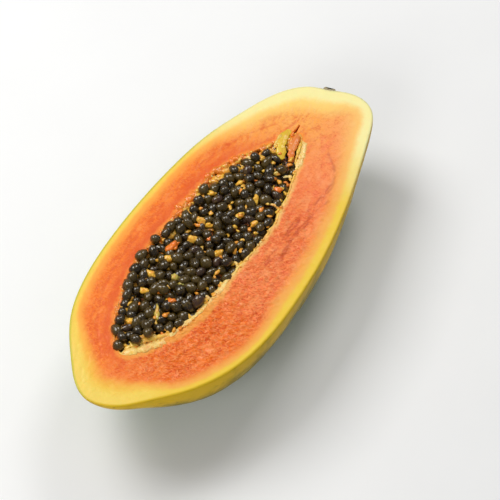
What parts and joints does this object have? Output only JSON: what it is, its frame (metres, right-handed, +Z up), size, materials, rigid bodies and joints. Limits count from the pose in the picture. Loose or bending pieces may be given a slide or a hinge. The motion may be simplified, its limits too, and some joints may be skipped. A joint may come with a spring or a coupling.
{
  "type": "papaya",
  "caption": "Half of a papaya cut lengthwise, lying on its skin, with its seed cavity open and full of seeds.",
  "frame": {"origin": "middle of the half's box, on the surface that it lies on", "axes": "+X from the blossom tip to the stem end, +Z up, out of the cut face"},
  "size_m": [0.2798, 0.1247, 0.0679],
  "materials": {
    "flesh": "wet orange flesh, with a smooth yellow and green skin outside",
    "placenta": "moist yellow torn tissue",
    "seeds": "wet and glossy"
  },
  "bodies": {
    "root": {"flesh_and_skin": "flesh", "placenta": "placenta", "seeds": "seeds"}
  },
  "joints": []
}
